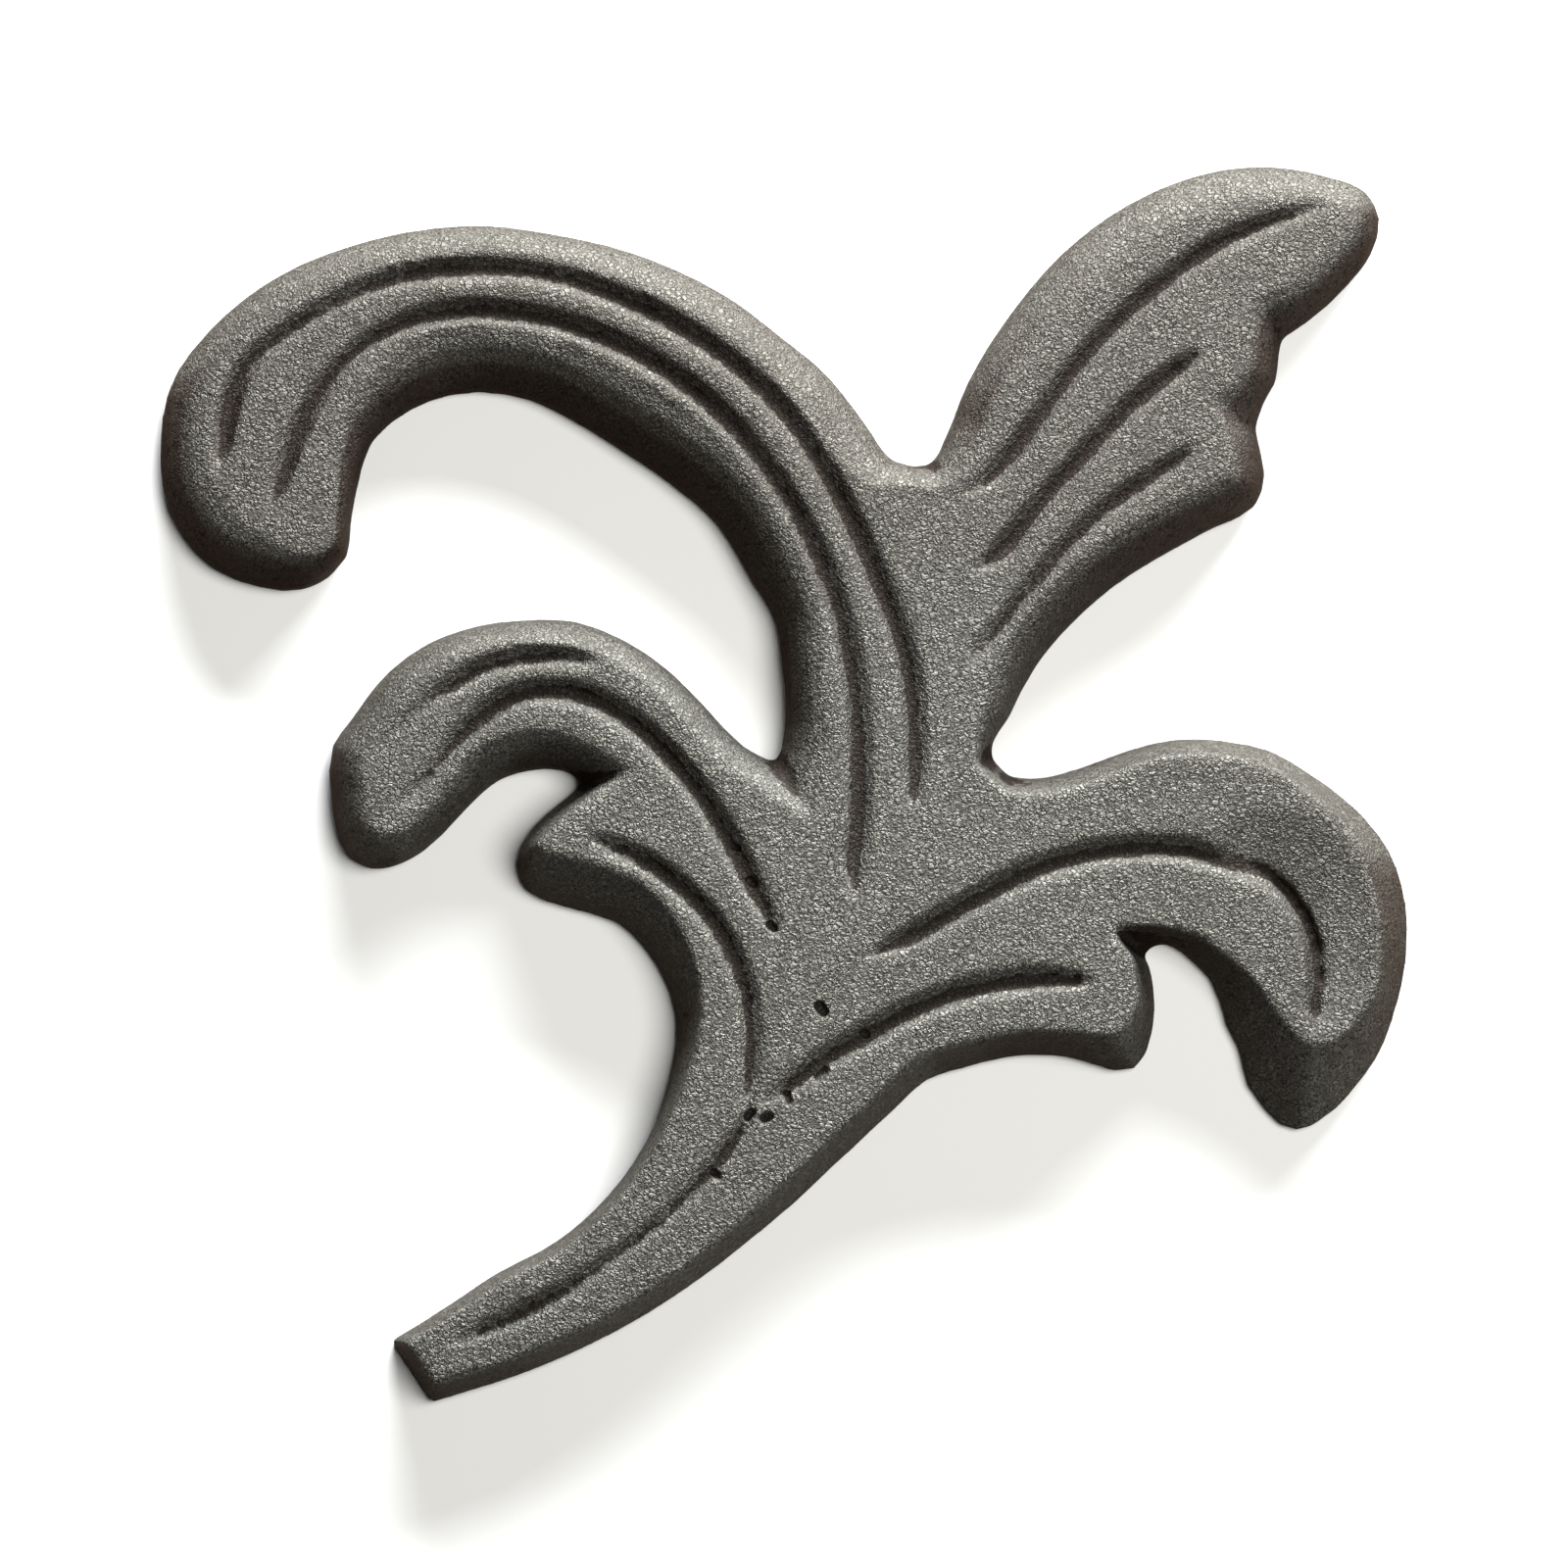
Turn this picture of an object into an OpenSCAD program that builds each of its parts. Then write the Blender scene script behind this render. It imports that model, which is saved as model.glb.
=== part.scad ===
// Cast iron leaf ornament for gates and railings: one flat-backed casting with a scroll, a curl,
// a wing, a fluke, two spurs and a stem, its face carved with veins that run out at both ends.
// X runs across the leaf and Y up it. The back lies on Z = 0, and the face looks along +Z.

/* [Leaf] */
// Width of the leaf across its tips
leaf_w = 160; // [120:5:200]
// Height of the face over the hub, where the lobes meet
hub_h = 12; // [10:0.5:16]
// How far the face falls from the hub to the farthest tip
tip_fall = 3; // [0:0.25:4]
// Height of the parting line, the widest level, above the back
parting_h = 1.5; // [0.8:0.1:2.5]
// How far the back edge lies inside the parting line
back_inset = 0.5; // [0.2:0.1:1]

/* [Shoulders] */
// Width of the shoulders, as a share of the drawn width
shoulder_share = 1; // [0.7:0.05:1.1]

/* [Veins] */
// Depth of a full vein below the face
vein_d = 1.3; // [0.6:0.1:1.8]
// Width of the easy side of a full vein
easy_w = 1.7; // [1:0.1:2.4]
// Width of the floor of a full vein
floor_w = 1.2; // [0.6:0.1:1.8]
// Width of the steep side of a full vein
steep_w = 0.5; // [0.3:0.1:1]

/* [Fluke hollow] */
// Depth of the hollow where it meets the vein, below the face
hollow_d = 1.7; // [1:0.1:2.2]
// Width of its easy side, which comes down from the outer crest
hollow_w = 9; // [6:0.5:9.5]
// Depth of the crease at the foot of the hollow, below the face
crease_d = 2.9; // [2.4:0.1:3.4]
// Width of each side and of the floor of the crease
crease_w = 0.8; // [0.6:0.1:1]

/* [Stem] */
// Distance from the origin to the foot of the stem's end face
stem_reach = 81.5; // [78:0.5:84]
// Lean of the end face, in degrees from upright
stem_lean = 12; // [0:1:20]

/* [Hidden] */

// The plan is drawn for a leaf this wide and scaled to leaf_w
drawn_w = 160;
plan = leaf_w / drawn_w;

// Centre of the hub, and the distance from it to the farthest tip
hub = [5, -5] * plan;
tip_r = 90 * plan;

// The crest of the rim stops this far below the face, so the two meet in a clean line
crest_gap = 0.15;
// The rim and the vein cutters reach this far above the face
over = 1.2;
// Where a vein runs out, its floor keeps at least this share of its width
least_floor = 0.2;

// Longest stretch between two sections of the rim and of a vein, spacing of the points that the
// face is drawn through, steps that a shoulder is rounded in, and sides of a pit
edge_step = 3.6;
vein_step = 4.5;
crown_pitch = 8;
shoulder_steps = 5;
pit_sides = 8;

// Direction that the stem's end face looks in, in degrees from +X
stem_dir = 213.5;

// The edge goes clockwise in runs from corner to corner. A station is [x, y, shoulder width],
// or [x, y, crest x, crest y] at corners and tight tips. Shoulders are round at 1, flat at 0.
stem_and_spur = [
    [-53.5, -73, -52.9, -74], [-43, -66.6, 1.2], [-36.7, -62.4, 1.2], [-29, -58.3, 1.2],
    [-20.8, -50.4, 1.3], [-16.6, -43.4, 1.5], [-14.5, -36.9, 2.2], [-13.8, -30, 3.4],
    [-16.1, -23.6, 4.8], [-21.4, -17.9, 6], [-28, -15.9, -27.2, -9.5], [-33, -13.8, -30.9, -8.6],
    [-34.3, -10.4, -31.5, -7.6], [-32.1, -5.4, -30.5, -6.6], [-28.5, -2.2, 1.8],
    [-26.7, -0.7, -23.8, -0.9], [-25.9, 0.5, -19, 1.5]
];
curl = [
    [-25.9, 0.5, -19, 1.5], [-28, 1.5, -24.5, 5], [-32.3, 1.6, -31.8, 7.1], [-36.5, 0.3, 5],
    [-39.8, -2.6, 4], [-45.8, -8.5, 3.4], [-49.1, -10.4, -49.8, -6.5], [-53, -11, -52, -6.2],
    [-55.5, -9.8, -52.9, -5.2], [-57, -7, -53.2, -3.9], [-58, -1.8, -53.6, -0.5],
    [-57.8, 4.9, 4], [-55.4, 8.3, 3.8], [-50.5, 14.5, 3.4], [-45.8, 17.9, 3.2], [-41, 19.8, 3],
    [-33.8, 21, 3], [-26.6, 20.8, 3], [-20.4, 18.5, 3], [-14.6, 14.5, 3], [-9.9, 9.8, 3],
    [-5.1, 4.9, 3.2], [-1, 2.8, 3.6, -4.6]
];
scroll = [
    [-1, 2.8, 3.6, -4.6], [-0.4, 4.9, 5.4, 3.2], [0.1, 9.8, 5], [-0.4, 15.5, 5.2],
    [-1.1, 20.6, 6], [-4.1, 25.6, 7.5], [-8.9, 33.4, 8.5], [-12.5, 36.6, 9], [-19.9, 41.8, 9],
    [-27.5, 46.5, 9], [-32.3, 48.8, 9], [-42.4, 49.6, 8.5], [-47.8, 47.6, 6.5],
    [-52.6, 43.6, 4.5], [-54.5, 37.5, 2.4], [-55.3, 33.3, 1.8], [-55.8, 29, -57.2, 30.6],
    [-57.9, 26.5, -58.9, 29.4], [-61.5, 24.7, -62.2, 29.2], [-66.9, 25, -65.9, 31],
    [-72.9, 27.3, -69.6, 33.4], [-77, 31.6, -71.7, 36], [-79.5, 37.5, -73.1, 39.6],
    [-79.9, 43.4, 6.3], [-78.9, 50, 6], [-71.8, 59.8, 5.2], [-61.6, 66.6, 4.4], [-54, 69.3, 4],
    [-45.4, 71.1, 4], [-38.8, 71.5, 4], [-30.1, 70.5, 4], [-16.3, 66.9, 4.2],
    [-6.3, 61.8, 4.4], [-0.5, 57.4, 4.8], [5.4, 52.5, 5.4], [11.4, 44.8, 5.5],
    [13.8, 41.5, 4.2], [16.3, 40.7, 2.6], [18.6, 40.9, 3.4], [20.4, 44.1, 4.8],
    [23.4, 51.4, 5.5], [29.4, 60.9, 5.5], [35.4, 67.8, 5.5], [41.4, 72.6, 5.5],
    [47.3, 75.9, 5.2], [54.5, 78.3, 5], [62.3, 79, 4.5], [70, 77.6, 4], [74.3, 75.9, 3.6],
    [76.2, 72.4, 3.5], [75.1, 67.5, 4], [72.4, 63.9, 4.6], [67.6, 59.4, 64.3, 63.4],
    [63.8, 56.8, 60, 62.1]
];
upper_scallop = [
    [63.8, 56.8, 60, 62.1], [63.4, 55, 59.4, 56.8], [63, 51.4, 4.4], [61.4, 48.5, 57, 50.4],
    [60.4, 45.4, 54.3, 49]
];
lower_scallop = [
    [60.4, 45.4, 54.3, 49], [61.1, 42.3, 56.9, 43.6], [61.6, 39.6, 4.4], [60.3, 35.4, 56.4, 39],
    [55, 32.6, 5.3], [47.5, 28.5, 5.5], [41.8, 24.8, 5.5], [37.5, 21, 5.5], [33.5, 16.6, 5.2],
    [30.5, 11.9, 4.5], [28.8, 8.3, 3.5], [26.8, 5.3, 2.6], [26.7, 3.4, 24.4, 2.6]
];
fluke = [
    [26.7, 3.4, 24.4, 2.6], [28.8, 1.1, 2], [31.1, 0.8, 2], [35.4, 1.4, 2], [41.4, 3.5, 2],
    [47.5, 5.4, 1.9], [53, 5.9, 1.9], [57, 5.5, 1.9], [62.4, 4.3, 2.1], [66.6, 1.9, 2.3],
    [71.4, -1.5, 2.6], [74.5, -4.4, 3], [77.6, -8.6, 3.6], [79.3, -13.4, 3.9],
    [79.9, -18.3, 3.6], [79.3, -25, 3.5], [77.9, -30.3, 75.5, -26.6], [75.8, -35.3, 73.6, -29.6],
    [73.4, -38.6, 71.8, -31.6], [70.5, -41.8, 69.8, -33.1], [67.6, -43.9, 68.4, -33.4],
    [65.6, -44.5, 67.4, -33.3], [63.3, -43.8, 66.4, -32.9], [61.4, -41.8, 65.4, -32.1],
    [59.3, -38.9, 64.4, -31.1], [58, -34, 62.8, -29.3], [56.5, -31, 61.6, -27.6],
    [55.6, -27.8, 60.4, -25.9], [54.4, -25, 58.6, -24], [52.3, -23, 55.7, -21.6],
    [50.4, -21.4, 52.4, -19.3], [48.8, -20.6, 49.4, -18.6], [47.5, -20.8, 46.3, -18.1],
    [46, -22, 41.5, -18.3]
];
toe_and_heel = [
    [46, -22, 41.5, -18.3], [46.9, -23.3, 44.2, -21.8], [47.4, -25.9, 45, -25.2],
    [47.3, -31.5, 44.9, -29], [46.4, -34.6, 44.2, -30.6], [44.9, -36.5, 42.9, -31.9],
    [42.3, -36.9, 41, -32.2], [40.4, -36.3, 39, -32], [36.3, -35.1, 3.4], [32.1, -34.8, 3.3],
    [28.5, -35.1, 3.2], [22.8, -36.5, 3.2], [18.3, -38, 3.2], [14.5, -41.5, 3],
    [6.8, -48.6, 3], [1.5, -53.6, 2.9], [-4.5, -58.6, 2.7], [-11.9, -64.3, 2.6],
    [-19, -68.8, 2.5], [-31, -74.6, 2.4], [-38.6, -77.3, 2.4], [-44.6, -79.1, 2.4],
    [-50.5, -81, -51.2, -78.7]
];
stem_stub = [
    [-50.5, -81, -51.2, -78.7], [-53.5, -73, -52.9, -74]
];
runs = [
    [stem_and_spur, 0.35], [curl, 0.8], [scroll, 0.9], [upper_scallop, 0.8], [lower_scallop, 0.8],
    [fluke, 0.15], [toe_and_heel, 0.15], [stem_stub, 0]
];

// A vein is a line of points [x, y, depth] along the middle of its easy side, which lies left of
// its floor as the points go. Depth is a share of vein_d, and below 0 the cutter clears the face.
veins = [
    // Scroll, along its outer edge
    [
        [-72.2, 36.5, -0.3], [-72.5, 42.9, 0.8], [-72.1, 47.3, 1], [-70, 53, 0.9],
        [-61.5, 59.9, 0.8], [-54.2, 63.8, 0.8], [-43.8, 66.5, 1], [-30.6, 66.1, 1],
        [-17.8, 61.7, 1], [-6.5, 54.9, 1], [1.1, 47.7, 1], [6.8, 39.1, 1], [13.8, 24.2, 1],
        [16.5, 16.5, 1], [17.6, 9, 1], [17.7, 2.5, 0.9], [17.3, -1.5, 0.7],
        [16.8, -5, -0.3]
    ],
    // Scroll, along its inner edge
    [
        [-66, 32.5, -0.3], [-65.3, 37.3, 0.7], [-64.3, 41.3, 0.9], [-61.7, 47.9, 0.9],
        [-54.9, 56, 0.8], [-49.6, 59.2, 0.9], [-43.8, 61, 1], [-36.6, 61.2, 1],
        [-29.3, 60, 1], [-15, 53.8, 1], [-8.1, 48.6, 1], [0.1, 38.7, 1], [7.3, 24.6, 1],
        [10.1, 12.5, 1], [10.7, 3.5, 1], [10.4, -6.3, 1], [9.7, -11.5, 0.8],
        [9.1, -16.5, -0.3]
    ],
    // Curl, along its outer edge
    [
        [-53.5, 1.5, -0.3], [-51.2, 5.2, 0.4], [-47.2, 9.5, 0.5], [-43, 13, 0.8],
        [-38.4, 15.8, 0.9], [-33.8, 16.9, 0.9], [-29, 17.1, 0.8], [-25.3, 16.6, 0.7],
        [-21.5, 15.4, -0.3]
    ],
    // Curl, along its inner edge and on into the hub
    [
        [-50.5, -5, -0.3], [-48, -1.2, 0.5], [-44.7, 2.8, 0.7], [-42.1, 6.5, 0.9],
        [-38.6, 9.8, 1], [-33.8, 12.4, 1], [-29, 12.9, 1], [-24.3, 11.9, 1], [-19.8, 9.5, 1],
        [-14.8, 5.2, 1], [-11.4, 1.4, 1], [-8.7, -2.3, 1], [-4.5, -9.5, 1],
        [-2.9, -13, 0.9], [-1.4, -16.5, 0.7], [0.3, -21, -0.3]
    ],
    // Wing, the long one
    [
        [19.2, 34.2, -0.3], [25.8, 39.8, 0.8], [31.8, 47.5, 0.9], [37.8, 55.4, 0.9],
        [43.8, 61.4, 0.9], [49.7, 66.2, 0.9], [55.9, 70.2, 0.9], [63.3, 72.8, 0.7],
        [68, 74, 0.5], [73, 74.7, -0.3]
    ],
    // Wing, the middle one
    [
        [22.3, 25.3, -0.3], [25.9, 29.2, 0.8], [31.9, 36.4, 0.9], [37.9, 43, 0.9],
        [43.2, 48.5, 0.9], [48, 52.5, 0.9], [51.8, 55, 0.6], [55, 56.6, -0.3]
    ],
    // Wing, the lower one
    [
        [21.4, 12.8, -0.3], [24.8, 18.1, 0.7], [28.8, 23.2, 0.8], [34.8, 30.4, 0.8],
        [40.7, 35.9, 0.8], [46.7, 40.1, 0.8], [50.8, 42.7, 0.6], [54.2, 44.6, -0.3]
    ],
    // Fluke, round its outer edge
    [
        [7, -23.8, -0.3], [15, -18.9, 0.9], [23.2, -14.2, 1], [31.1, -10.2, 1],
        [38.9, -7.8, 1], [47.5, -7.1, 1], [52.3, -7.6, 1], [57, -8.9, 1], [60.8, -10.6, 0.9],
        [64.5, -13.3, 0.8], [66.8, -16.6, 0.8], [68.3, -20.5, 0.8], [68.6, -24.8, 0.8],
        [68, -28.6, 0.7], [66.8, -33, -0.3]
    ],
    // Toe, along its length
    [
        [-5.5, -42.5, -0.2], [0.3, -37.7, 0.8], [3.8, -34.8, 0.9], [9.2, -31.6, 1],
        [14.3, -28.7, 1], [20.6, -26, 1], [27, -24.4, 1], [33.1, -23.8, 1],
        [37.4, -24.2, 0.8], [41, -25.3, -0.3]
    ],
    // Spur, down through the hub
    [
        [-27.5, -5.4, -0.3], [-23.2, -6.7, 0.6], [-19.4, -8, 0.8], [-15.9, -9.8, 0.9],
        [-12.5, -12.4, 0.9], [-9.4, -15.5, 0.9], [-6.5, -19.6, 0.9], [-3.7, -27, 0.9],
        [-3.2, -31.3, 0.9], [-3.6, -38, 0.8], [-6, -45, -0.3]
    ],
    // Stem, from its end up to the hub
    [
        [-44.5, -72, -0.2], [-38.1, -68.8, 0.7], [-33.2, -66.3, 0.8], [-28.6, -64, 0.7],
        [-23.8, -60.8, 0.6], [-19.1, -57.5, 0.6], [-14.5, -53.5, 0.6], [-9.7, -48.6, 0.7],
        [-5.6, -42.8, 0.6], [-3, -37.5, -0.3]
    ]
];

// Broad hollow of the fluke, which comes down from its outer crest into its vein, and the narrow
// crease at the foot of it. Both are listed as the veins are.
fluke_hollow = [
    [52.3, -7.7, -0.1], [57.9, -6.4, 0.6], [62.8, -7.2, 0.9], [67.6, -10.2, 1],
    [70.5, -14.6, 0.95], [71.9, -19.7, 0.85], [71.9, -24.9, 0.75], [70.3, -29.1, 0.55],
    [66.7, -33, -0.1]
];
fluke_crease = [
    [52.3, -7.4, -0.1], [57.1, -8.6, 0.5], [61, -10.3, 0.8], [64.7, -13.1, 1], [67.1, -16.5, 1],
    [68.6, -20.4, 1], [68.9, -24.8, 0.9], [68.3, -28.7, 0.7], [66.8, -33, -0.1]
];

// Pits left by loose sand: [x, y, radius, run to the other end in x, in y]
pits = [
    [4.5, -28.3, 0.65, 0.5, -0.7], [10.1, -31.6, 0.45, 0.3, -0.3], [4.4, -37.4, 0.5, 0.9, 0.9],
    [0.4, -39.5, 0.45, 0.2, -0.9], [-2.5, -42.6, 0.6, 0.5, 0.3], [-4.1, -41.8, 0.5, -0.5, -0.6],
    [-8.5, -49.9, 0.45, -0.4, 0.4], [-6.3, -8, 0.4, 0.4, -0.2], [-4.4, -12.3, 0.45, 0.5, -0.5],
    [-1.8, -18, 0.5, 0.5, -0.4]
];

// Height of the face at a place in the plan
function face_z(p) = hub_h - tip_fall * pow(norm([p.x, p.y] - hub) / tip_r, 2);

// Plan distance between two points
function reach(a, b) = norm([b.x - a.x, b.y - a.y]);

// Direction of the smooth line through the points p at point i, per millimetre along it
function slope(p, i) =
    len(p) == 2 ? (p[1] - p[0]) / reach(p[0], p[1])
    : i == 0 ? 1.5 * (p[1] - p[0]) / reach(p[0], p[1]) - 0.5 * slope(p, 1)
    : i == len(p) - 1 ? 1.5 * (p[i] - p[i - 1]) / reach(p[i - 1], p[i]) - 0.5 * slope(p, i - 1)
    : let (a = reach(p[i - 1], p[i]), b = reach(p[i], p[i + 1]))
        ((p[i] - p[i - 1]) * b / a + (p[i + 1] - p[i]) * a / b) / (a + b);

// A smooth line through the points p, without its last point
function smooth(p, step) = [
    for (i = [0 : len(p) - 2])
        let (
            length = reach(p[i], p[i + 1]),
            count = ceil(length / step),
            leave = slope(p, i) * length,
            arrive = slope(p, i + 1) * length
        )
        for (j = [0 : count - 1])
            let (t = j / count, t2 = t * t, t3 = t2 * t)
            (2 * t3 - 3 * t2 + 1) * p[i] + (t3 - 2 * t2 + t) * leave
                + (3 * t2 - 2 * t3) * p[i + 1] + (t3 - t2) * arrive
];

// Unit vector that points right of a smooth line
function right_of(p, i) =
    let (s = slope(p, i), length = norm([s.x, s.y]))
    [s.y, -s.x] / length;

// Stations of one run as [x, y, crest x, crest y], at the leaf's own size
function crested(run) = [
    for (i = [0 : len(run) - 1])
        let (
            s = run[i],
            foot = [s.x, s.y],
            crest = len(s) > 3 ? [s[2], s[3]] : foot + s[2] * right_of(run_plan(run), i),
            shoulder = (crest - foot) * shoulder_share
        )
        plan * [s.x, s.y, s.x + shoulder.x, s.y + shoulder.y]
];
function run_plan(run) = [for (s = run) [s.x, s.y]];

// One section of the rim, from the back edge up to well above the crest
function rim_section(s, roundness) =
    let (
        foot = [s[0], s[1]],
        shoulder = [s[2], s[3]] - foot,
        crest = foot + shoulder,
        crest_z = face_z(crest) - crest_gap,
        back = foot + shoulder * back_inset / norm(shoulder)
    )
    concat(
        [[back.x, back.y, 0]],
        [
            for (j = [0 : shoulder_steps])
                let (
                    t = j / shoulder_steps,
                    in = roundness * (1 - cos(90 * t)) + (1 - roundness) * t,
                    up = roundness * sin(90 * t) + (1 - roundness) * t,
                    p = foot + shoulder * in
                )
                [p.x, p.y, parting_h + (crest_z - parting_h) * up]
        ],
        [[crest.x, crest.y, hub_h + over]]
    );

// Faces of a ring of open sections, all of one size, with its two rims closed
function ring_faces(sections, size) = concat(
    [[for (i = [sections - 1 : -1 : 0]) i * size]],
    [
        for (i = [0 : sections - 1], j = [0 : size - 2])
            let (a = i * size + j, b = ((i + 1) % sections) * size + j)
            for (f = [[a, b, b + 1], [a, b + 1, a + 1]]) f
    ],
    [[for (i = [0 : sections - 1]) i * size + size - 1]]
);

// Faces of a tube of closed sections, all of one size, with its two ends closed
function tube_faces(sections, size) = concat(
    [[for (j = [size - 1 : -1 : 0]) j]],
    [
        for (i = [0 : sections - 2], j = [0 : size - 1])
            let (a = i * size, b = a + size, k = (j + 1) % size)
            for (f = [[a + j, a + k, b + k], [a + j, b + k, b + j]]) f
    ],
    [[for (j = [0 : size - 1]) (sections - 1) * size + j]]
);

// The casting's rim: every wall and shoulder round the leaf, closed above the face
module rim() {
    sections = [
        for (r = runs)
            for (s = smooth(crested(r[0]), edge_step * plan)) rim_section(s, r[1])
    ];
    polyhedron(
        points = [for (s = sections, p = s) p],
        faces = ring_faces(len(sections), len(sections[0])),
        convexity = 10
    );
}

// The block under the face, whose top follows face_z
module crown() {
    pitch = crown_pitch * plan;
    half = pitch * (ceil(leaf_w / 2 / pitch) + 1);
    sections = [
        for (x = [-half : pitch : half + 0.1 * pitch])
            concat(
                [for (y = [-half : pitch : half + 0.1 * pitch]) [x, y, face_z([x, y])]],
                [[x, half, -over], [x, -half, -over]]
            )
    ];
    polyhedron(
        points = [for (s = sections, p = s) p],
        faces = tube_faces(len(sections), len(sections[0])),
        convexity = 4
    );
}

// A cutter along a smooth line, whose floor and sides narrow as it runs out
module gouge(line, easy, level, steep, depth) {
    points = [for (p = line) [p.x * plan, p.y * plan, p[2]]];
    path = concat(smooth(points, vein_step * plan), [points[len(points) - 1]]);
    sections = [
        for (i = [0 : len(path) - 1])
            let (
                c = path[i],
                side = right_of(path, i),
                d = c[2] * depth,
                rise = (d + over) / depth,
                foot = easy / 2 * max(c[2], 0),
                toe = foot + level * max(c[2], least_floor)
            )
            [
                for (q = [[foot - rise * easy, over], [foot, -d], [toe, -d],
                          [toe + rise * steep, over]])
                    let (p = [c.x, c.y] + side * q[0])
                    [p.x, p.y, face_z(p) + q[1]]
            ]
    ];
    polyhedron(
        points = [for (s = sections, p = s) p],
        faces = tube_faces(len(sections), 4),
        convexity = 6
    );
}

module carving() {
    for (v = veins)
        gouge(v, easy_w, floor_w, steep_w, vein_d);
    gouge(fluke_hollow, hollow_w, crease_w, crease_w, hollow_d);
    gouge(fluke_crease, crease_w, crease_w, crease_w, crease_d);
    for (p = pits)
        let (a = [p[0], p[1]] * plan, b = a + [p[3], p[4]])
        hull()
            for (c = [a, b])
                translate([c.x, c.y, face_z(c)]) sphere(r = p[2], $fn = pit_sides);
}

// Everything beyond the stem's end face
module past_stem_end() {
    rotate([0, 0, stem_dir])
        translate([stem_reach * plan, 0, 0])
            rotate([0, -stem_lean, 0])
                translate([0, -leaf_w / 2, -hub_h])
                    cube([leaf_w, leaf_w, 4 * hub_h]);
}

module leaf_casting() {
    color([0.42, 0.41, 0.39])
        difference() {
            intersection() {
                rim();
                crown();
            }
            carving();
            past_stem_end();
        }
}

leaf_casting();
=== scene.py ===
import bmesh
import bpy
import numpy as np
from mathutils import Matrix, Vector, noise


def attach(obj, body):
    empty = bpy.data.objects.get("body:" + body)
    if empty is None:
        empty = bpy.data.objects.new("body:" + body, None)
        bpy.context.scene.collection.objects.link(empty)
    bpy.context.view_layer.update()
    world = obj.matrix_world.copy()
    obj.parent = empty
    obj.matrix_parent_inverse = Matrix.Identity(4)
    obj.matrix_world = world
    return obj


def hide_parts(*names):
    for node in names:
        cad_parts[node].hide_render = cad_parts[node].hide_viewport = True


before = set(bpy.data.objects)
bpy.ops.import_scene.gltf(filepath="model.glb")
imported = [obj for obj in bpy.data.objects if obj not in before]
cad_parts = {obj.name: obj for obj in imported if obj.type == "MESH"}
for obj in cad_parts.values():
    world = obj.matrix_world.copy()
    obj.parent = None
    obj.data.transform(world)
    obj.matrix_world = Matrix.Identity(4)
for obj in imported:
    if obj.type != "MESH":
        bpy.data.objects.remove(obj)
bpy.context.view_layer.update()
print("frame loaded")

scene = bpy.context.scene
scene.view_settings.view_transform = "Standard"
mm = 0.001


# Camera straight above the face, in metres
view = {
    "distance": 1.9,
    "width": 0.2,           # what the picture shows of the plane at this height
    "height": 0.006,
    "sensor": 36,           # mm
    "clipEnd": 10,
}


def setCamera():
    data = bpy.data.cameras.new("topView")
    camera = bpy.data.objects.new("topView", data)
    scene.collection.objects.link(camera)
    data.sensor_width = view["sensor"]
    data.lens = data.sensor_width * view["distance"] / view["width"]
    data.clip_end = view["clipEnd"]
    camera.location = (0, 0, view["height"] + view["distance"])
    scene.camera = camera


# Lights, in metres and watts
lights = {
    "key": {"at": (0.2, 0.84, 0.25), "size": (0.9, 0.35), "power": 60, "tint": (0.97, 0.985, 1)},
    "fill": {"at": (0.3, 0.05, 0.85), "size": (0.5, 0.5), "power": 9, "tint": (1, 0.99, 0.95)},
    "sky": {"tint": (0.96, 0.98, 1), "strength": 0.04},
}


def setLights():
    for name in ("key", "fill"):
        values = lights[name]
        data = bpy.data.lights.new(name, "AREA")
        data.shape = "ELLIPSE"
        data.size, data.size_y = values["size"]
        data.energy = values["power"]
        data.color = values["tint"]
        lamp = bpy.data.objects.new(name, data)
        scene.collection.objects.link(lamp)
        turn = (-Vector(values["at"])).to_track_quat("-Z", "Y").to_matrix().to_4x4()
        lamp.matrix_world = Matrix.Translation(values["at"]) @ turn
    world = bpy.data.worlds.new("studio")
    world.use_nodes = True
    sky = world.node_tree.nodes["Background"]
    sky.inputs["Color"].default_value = (*lights["sky"]["tint"], 1)
    sky.inputs["Strength"].default_value = lights["sky"]["strength"]
    scene.world = world


# Shader maths: a socket that takes part in Python expressions, and the material it belongs to
class Sock:
    def __init__(self, paint, socket):
        self.paint = paint
        self.socket = socket

    def maths(self, operation, first, second):
        return self.paint.node("Math", {"operation": operation}, {0: first, 1: second})

    def __add__(self, other):
        return self.maths("ADD", self, other)

    def __sub__(self, other):
        return self.maths("SUBTRACT", self, other)

    def __rsub__(self, other):
        return self.maths("SUBTRACT", other, self)

    def __mul__(self, other):
        return self.maths("MULTIPLY", self, other)

    __radd__ = __add__
    __rmul__ = __mul__

    def ramp(self, low, high):  # 0 below low, 1 above high, eased between
        settings = {"interpolation_type": "SMOOTHSTEP"}
        sockets = {"Value": self, "From Min": low, "From Max": high}
        return self.paint.node("MapRange", settings, sockets)


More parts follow.
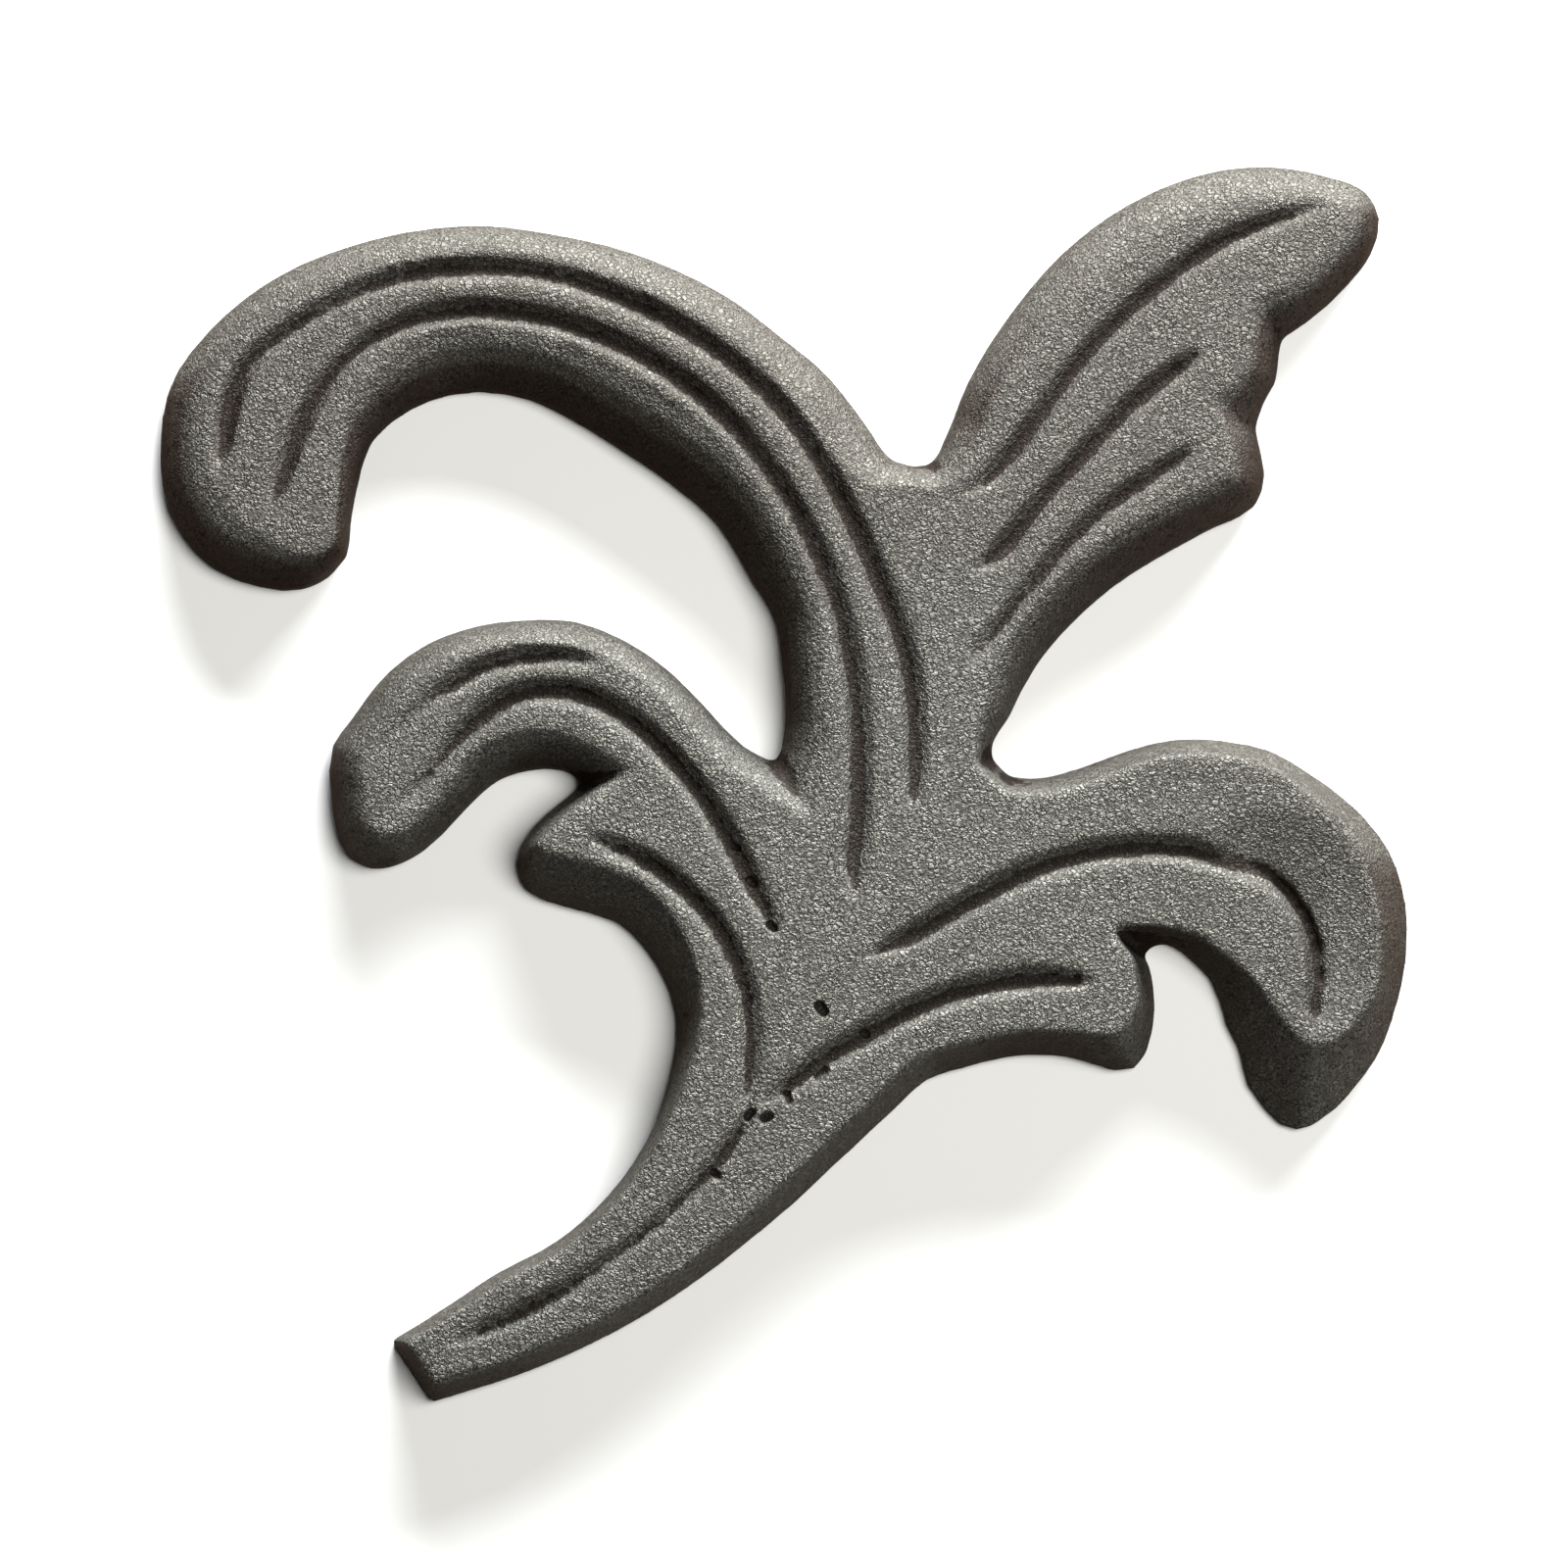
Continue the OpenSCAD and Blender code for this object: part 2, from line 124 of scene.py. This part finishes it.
class Paint:
    def __init__(self, name):
        self.material = bpy.data.materials.new(name)
        self.material.use_nodes = True
        self.tree = self.material.node_tree
        self.shader = self.tree.nodes["Principled BSDF"]

    def plug(self, value, target):
        if isinstance(value, Sock):
            self.tree.links.new(value.socket, target)
        elif isinstance(value, tuple) and len(value) < len(target.default_value):
            target.default_value = (*value, 1)
        else:
            target.default_value = value

    def node(self, kind, settings, sockets, out=0):
        made = self.tree.nodes.new("ShaderNode" + kind)
        for name, value in settings.items():
            setattr(made, name, value)
        for name, value in sockets.items():
            self.plug(value, made.inputs[name])
        return Sock(self, made.outputs[out])

    def mix(self, mask, low, high):  # a Mix node has its colours at inputs 6 and 7 and at output 2
        sockets = {0: mask, 6: low, 7: high}
        return self.node("Mix", {"data_type": "RGBA", "clamp_factor": True}, sockets, out=2)

    def finish(self, **sockets):
        for name, value in sockets.items():
            self.plug(value, self.shader.inputs[name.replace("_", " ")])
        return self.material


# The casting
leaf = {
    "weld": 0.0005 * mm,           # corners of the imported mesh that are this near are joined
    "cell": 0.56 * mm,             # size of the new mesh's faces
    "easeTurns": 4,                # passes that take the facets off
    "easeShare": 0.5,              # of the way to the neighbours' middle, in each pass
    "backCells": 0.6,              # what lies lower than this many cells is the flat back
    "ripple": 0.1 * mm,            # depth of the sand mould's unevenness
    "rippleSize": 4.5 * mm,
    "rippleMean": 0.75,            # share of the depth that comes off everywhere
    "rippleSwing": 0.5,            # share of it that comes and goes with the waves
    "fineSize": 0.4,               # size of the finer waves beside the others
    "fineSwing": 0.5,              # and their height
    "hollowTurns": 52,             # passes of the smooth copy that hollows are measured from
    "under": (-0.65, -0.76, 0),    # the way that the sides turned away from the key light face; painted shade is laid on them
}

pits = {  # in mm
    "places": [  # x, y, run to the other end in x and y, radius
        (4.5, -28.3, 0.5, -0.7, 0.75), (10.1, -31.6, 0.3, -0.3, 0.6), (4.4, -37.4, 0.9, 0.9, 0.6),
        (0.4, -39.5, 0.2, -0.9, 0.55), (-2.5, -42.6, 0.5, 0.3, 0.7), (-4.1, -41.8, -0.5, -0.6, 0.6),
        (-8.5, -49.9, -0.4, 0.4, 0.55), (-6.3, -8, 0.4, -0.2, 0.5), (-4.4, -12.3, 0.5, -0.5, 0.55),
        (-1.8, -18, 0.5, -0.4, 0.6),
    ],
    "above": 5,                # only what lies higher is dented, so the back stays whole
    "near": 2.2,               # radii within which the faces are divided
    "cuts": 3,                 # how finely
    "depth": 0.7,
    "dark": 0.7,               # added to the hollow that the film and the painted shade follow
}


def packedMesh():
    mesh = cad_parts["leaf_casting"].data.copy()
    mesh.materials.clear()
    bm = bmesh.new()
    bm.from_mesh(mesh)
    bmesh.ops.remove_doubles(bm, verts=bm.verts, dist=leaf["weld"])
    bm.to_mesh(mesh)
    bm.free()
    return mesh


def evenFaces(piece):
    remesh = piece.modifiers.new("evenFaces", "REMESH")
    remesh.mode = "VOXEL"
    remesh.voxel_size = leaf["cell"]
    ease = piece.modifiers.new("ease", "SMOOTH")
    ease.factor = leaf["easeShare"]
    ease.iterations = leaf["easeTurns"]
    graph = bpy.context.evaluated_depsgraph_get()
    shaped = bpy.data.meshes.new_from_object(piece.evaluated_get(graph))
    piece.modifiers.clear()
    piece.data = shaped
    print("casting remeshed:", len(shaped.polygons), "faces")


def readVectors(mesh, name):
    values = np.empty(3 * len(mesh.vertices))
    mesh.vertices.foreach_get(name, values)
    return values.reshape(-1, 3)


def smoothedPlaces(mesh, turns):  # each turn moves a vertex to the middle of its neighbours
    places = readVectors(mesh, "co")
    pairs = np.empty(2 * len(mesh.edges), dtype=int)
    mesh.edges.foreach_get("vertices", pairs)
    first, second = pairs.reshape(-1, 2).T
    count = np.bincount(first, minlength=len(places)) + np.bincount(second, minlength=len(places))
    for turn in range(turns):
        total = np.empty_like(places)
        for axis in range(3):
            total[:, axis] = (np.bincount(first, places[second, axis], len(places))
                              + np.bincount(second, places[first, axis], len(places)))
        places = total / count[:, None]
    return places


def noteShape(mesh):  # notes for the iron: hollows in mm, and which way the skin faces
    places = readVectors(mesh, "co")
    normals = readVectors(mesh, "normal")
    smoothed = smoothedPlaces(mesh, leaf["hollowTurns"])
    hollow = ((smoothed - places) * normals).sum(1) / mm
    notes = {
        "hollow": hollow,
        "wall": 1 - normals[:, 2],           # 0 where the skin lies flat, 1 where it is upright
        # how far the skin faces away from the key light, for painted shade
        "under": normals @ leaf["under"],
        "upper": normals[:, 1],              # 1 where it faces straight up the picture, towards the key light; walls there get less painted shade
    }
    for name, values in notes.items():
        field = mesh.attributes.new(name, "FLOAT", "POINT")
        field.data.foreach_set("value", values)
    print("hollows noted, from", hollow.min(), "to", hollow.max(), "mm")


def roughen(mesh):  # moves the skin inwards by an uneven amount and the back to its plane
    places = readVectors(mesh, "co")
    normals = readVectors(mesh, "normal")
    back = places[:, 2] < leaf["backCells"] * leaf["cell"]
    for index in np.flatnonzero(~back):
        spot = Vector(places[index])
        wave = noise.noise(spot / leaf["rippleSize"])
        wave += leaf["fineSwing"] * noise.noise(spot / (leaf["fineSize"] * leaf["rippleSize"]))
        depth = leaf["rippleMean"] + leaf["rippleSwing"] * wave
        places[index] -= normals[index] * leaf["ripple"] * depth
    places[back, 2] = 0
    mesh.vertices.foreach_set("co", places.ravel())
    print("skin roughened:", len(places), "vertices")


def joinBack(bm):  # the flat back, inside a ring of faces at its sharp rim, becomes one face
    flat = [face for face in bm.faces if all(vert.co.z == 0 for vert in face.verts)]
    onBack = set(flat)
    for face in flat:
        for edge in face.edges:
            edge.smooth = all(other in onBack for other in edge.link_faces)
    inner = [face for face in flat
             if all(other in onBack for vert in face.verts for other in vert.link_faces)]
    made = bmesh.ops.dissolve_faces(bm, faces=inner, use_verts=True)
    print("back faces", len(inner), "joined to", len(made["region"]))


def awayFrom(start, run, vert):  # mm from a pit's middle line, seen from above
    if vert.co.z <= pits["above"] * mm:
        return np.inf
    offset = vert.co.xy / mm - start
    along = min(max(offset.dot(run) / run.length_squared, 0), 1)
    return (offset - run * along).length


def dentPits(bm):
    hollow = bm.verts.layers.float["hollow"]
    for x, y, runX, runY, radius in pits["places"]:
        start = Vector((x, y))
        run = Vector((runX, runY))
        reach = pits["near"] * radius
        near = [edge for edge in bm.edges
                if all(awayFrom(start, run, vert) < reach for vert in edge.verts)]
        bmesh.ops.subdivide_edges(bm, edges=near, cuts=pits["cuts"], use_grid_fill=True)
        for vert in bm.verts:
            away = awayFrom(start, run, vert)
            if away < radius:
                deep = 1 - (away / radius) ** 2
                vert.co.z -= pits["depth"] * mm * deep ** 0.5
                # darkens the pit with the film and the painted shade of hollows
                vert[hollow] += pits["dark"] * deep
    print("pits dented:", len(pits["places"]))


def makeCasting():
    piece = bpy.data.objects.new("leafOrnament", packedMesh())
    scene.collection.objects.link(piece)
    evenFaces(piece)
    noteShape(piece.data)
    roughen(piece.data)
    bm = bmesh.new()
    bm.from_mesh(piece.data)
    joinBack(bm)
    dentPits(bm)
    bm.to_mesh(piece.data)
    bm.free()
    piece.data.shade_smooth()
    return piece


# Cast iron, in three dictionaries. A pair is where a change begins and where it is full.
iron = {
    "low": (0.056, 0.055, 0.05),        # the skin's dark specks
    "high": (0.205, 0.202, 0.18),       # and its bright ones
    "crack": (0.012, 0.01, 0.0085),     # between the grains
    "filmAndShade": (0.021, 0.0145, 0.0115),    # brown film and painted shade in the veins, on walls and on sides turned away from the key light
    "endToneAndShade": (0.042, 0.031, 0.0255),    # darker brown towards the ends of the lobes, and painted shade on slopes that don't face up the picture
    "metallic": 0.95,
    "edgeTint": (0.4, 0.37, 0.35),      # how much the rough skin mirrors at a low angle
    "rough": 0.67,
    "veinsRougher": 0.1,
    "wallsSmoother": 0.12,
}

grain = {
    "size": 1.45,                       # sand grains per mm
    "bend": (1.6, 1.1),                 # waves per mm that bend the grains' edges, and mm of bend
    "clumps": 0.55,                     # clumps per grain
    "fine": 4,                          # finer grit per mm
    "noiseDetail": 2,
    "noiseRough": 0.55,
    "specks": (0.35, 0.65),             # clumps and grit together, from low to high
    "cracks": (0, 0.16),                # from the grains' edges inwards
    "crackClumps": (0.37, 0.57),        # clumps that have cracks
    "crackShare": 0.9,
    "depth": 0.19 * mm,                 # of the relief
    "edges": (0, 0.3),                  # from the grains' edges inwards, for the relief
    "shares": (0.5, 0.6, 0.4),          # of the edges, the clumps and the grit in the relief
    "wallsFlatter": 0.25,
}

dirtAndShade = {
    "ragged": (0.9, 0.3),               # how the clumps and the grit fray the edge of the film and the painted shade
    "slope": (0.02, 0.3),               # by the note "wall", any slope
    "steep": (0.35, 0.95),              # by the same note, a wall
    "upper": (0.2, 0.5),                # sides that face up the picture, towards the key light, which get less painted shade
    "under": (0.34, 0.64),              # sides that face down and to the left, away from the key light, for painted shade
    "underRagged": 0.4,
    "recess": (0.22, 0.38),             # mm of hollow
    "endToneFrom": (0, -50),              # mm, where the iron is lightest
    "endToneReach": (50, 100),            # mm, where the darkening begins and where it is full
    "patches": 0.12,                    # per mm, uneven darkening
    "patchDetail": 3,
    "patchShare": 0.5,
    "endToneFlat": 0.28,                  # darkening everywhere
    "slopeShade": 0.6,                  # and painted shade on slopes that don't face up the picture, away from the key light
    # painted shade in the veins' hollows, with some brown film
    "filmAndShadeVeins": 0.8,
    # painted shade on walls, with some brown film
    "filmAndShadeWalls": 0.4,
    "lessShadeUpper": 0.25,                  # less painted shade on walls that face up, towards the key light
    # painted shade on sides that face away from the key light
    "shadowSideShade": 0.5,
}


def castIron():
    paint = Paint("castIron")
    place = paint.node("TexCoord", {}, {}, out="Object")
    place = paint.node("VectorMath", {"operation": "SCALE"}, {0: place, "Scale": 1 / mm})

    def grit(scale, detail=grain["noiseDetail"], out="Fac"):
        sockets = {"Vector": place, "Scale": scale, "Detail": detail,
                   "Roughness": grain["noiseRough"]}
        return paint.node("TexNoise", {}, sockets, out)

    def note(name):
        return paint.node("Attribute", {"attribute_name": name}, {}, out="Fac")

    # Grains with crooked edges, clumps of them and finer grit
    waves, reach = grain["bend"]
    shift = paint.node("VectorMath", {"operation": "SCALE"},
                       {0: grit(waves, out="Color"), "Scale": reach})
    bent = paint.node("VectorMath", {"operation": "ADD"}, {0: place, 1: shift})
    edge = paint.node("TexVoronoi", {"feature": "DISTANCE_TO_EDGE"},
                      {"Vector": bent, "Scale": grain["size"]})
    coarse = grit(grain["clumps"] * grain["size"])
    fine = grit(grain["fine"])
    sand = (fine * 0.5 + coarse * 0.5).ramp(*grain["specks"])
    cracks = (1 - edge.ramp(*grain["cracks"])) * coarse.ramp(*grain["crackClumps"])

    # Where the film and the painted shade lie, and where the iron darkens towards the lobes' ends
    coarseFray, fineFray = dirtAndShade["ragged"]
    ragged = (coarse - 0.5) * coarseFray + (fine - 0.5) * fineFray
    slope = note("wall").ramp(*dirtAndShade["slope"])
    steep = note("wall").ramp(*dirtAndShade["steep"])
    upper = note("upper").ramp(*dirtAndShade["upper"])
    # painted shade on sides that face away from the key light
    under = (note("under") + ragged * dirtAndShade["underRagged"]).ramp(*dirtAndShade["under"])
    recess = (note("hollow") + ragged).ramp(*dirtAndShade["recess"])
    # painted shade, partly brown film: darker in hollows, on walls and on sides turned away from
    # the key light, less on walls that face it
    filmAndShade = recess * dirtAndShade["filmAndShadeVeins"] + steep * (dirtAndShade["filmAndShadeWalls"] - upper * dirtAndShade["lessShadeUpper"])
    filmAndShade = filmAndShade + under * dirtAndShade["shadowSideShade"]
    away = paint.node("VectorMath", {"operation": "DISTANCE"},
                      {0: place, 1: (*dirtAndShade["endToneFrom"], 0)}, out="Value")
    patches = grit(dirtAndShade["patches"], dirtAndShade["patchDetail"])
    # darker towards the lobes' ends and in patches, with painted shade on slopes that don't face up
    # the picture
    endToneAndShadeMask = away.ramp(*dirtAndShade["endToneReach"]) + (patches - 0.5) * dirtAndShade["patchShare"]
    endToneAndShadeMask = endToneAndShadeMask * (slope * (1 - upper) * dirtAndShade["slopeShade"] + dirtAndShade["endToneFlat"])

    colour = paint.mix(sand, iron["low"], iron["high"])
    # lays the darker ends and the painted shade on slopes over the iron
    colour = paint.mix(endToneAndShadeMask, colour, iron["endToneAndShade"])
    # lays the film and the painted shade over the iron
    colour = paint.mix(filmAndShade, colour, iron["filmAndShade"])
    colour = paint.mix(cracks * grain["crackShare"], colour, iron["crack"])

    edgeShare, coarseShare, fineShare = grain["shares"]
    height = edge.ramp(*grain["edges"]) * edgeShare + coarse * coarseShare + fine * fineShare
    height = height * (1 - steep * grain["wallsFlatter"])
    bump = paint.node("Bump", {}, {"Height": height, "Distance": grain["depth"], "Strength": 1})
    rough = iron["rough"] + recess * iron["veinsRougher"] - steep * iron["wallsSmoother"]
    return paint.finish(Base_Color=colour, Roughness=rough, Metallic=iron["metallic"],
                        Normal=bump, Specular_Tint=iron["edgeTint"])


# Floor, in metres
ground = {"size": 6, "gap": 0.02 * mm, "colour": (0.78, 0.78, 0.775), "rough": 0.9}


def makeFloor():
    bpy.ops.mesh.primitive_plane_add(size=ground["size"], location=(0, 0, -ground["gap"]))
    floor = bpy.context.object
    floor.name = "floor"
    paint = Paint("paleFloor")
    floor.data.materials.append(
        paint.finish(Base_Color=ground["colour"], Roughness=ground["rough"]))


setCamera()
setLights()
makeFloor()
casting = makeCasting()
casting.data.materials.append(castIron())
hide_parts("leaf_casting")
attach(casting, "root")
triangles = sum(len(face.vertices) - 2 for face in casting.data.polygons)
print("casting dressed:", triangles, "triangles")
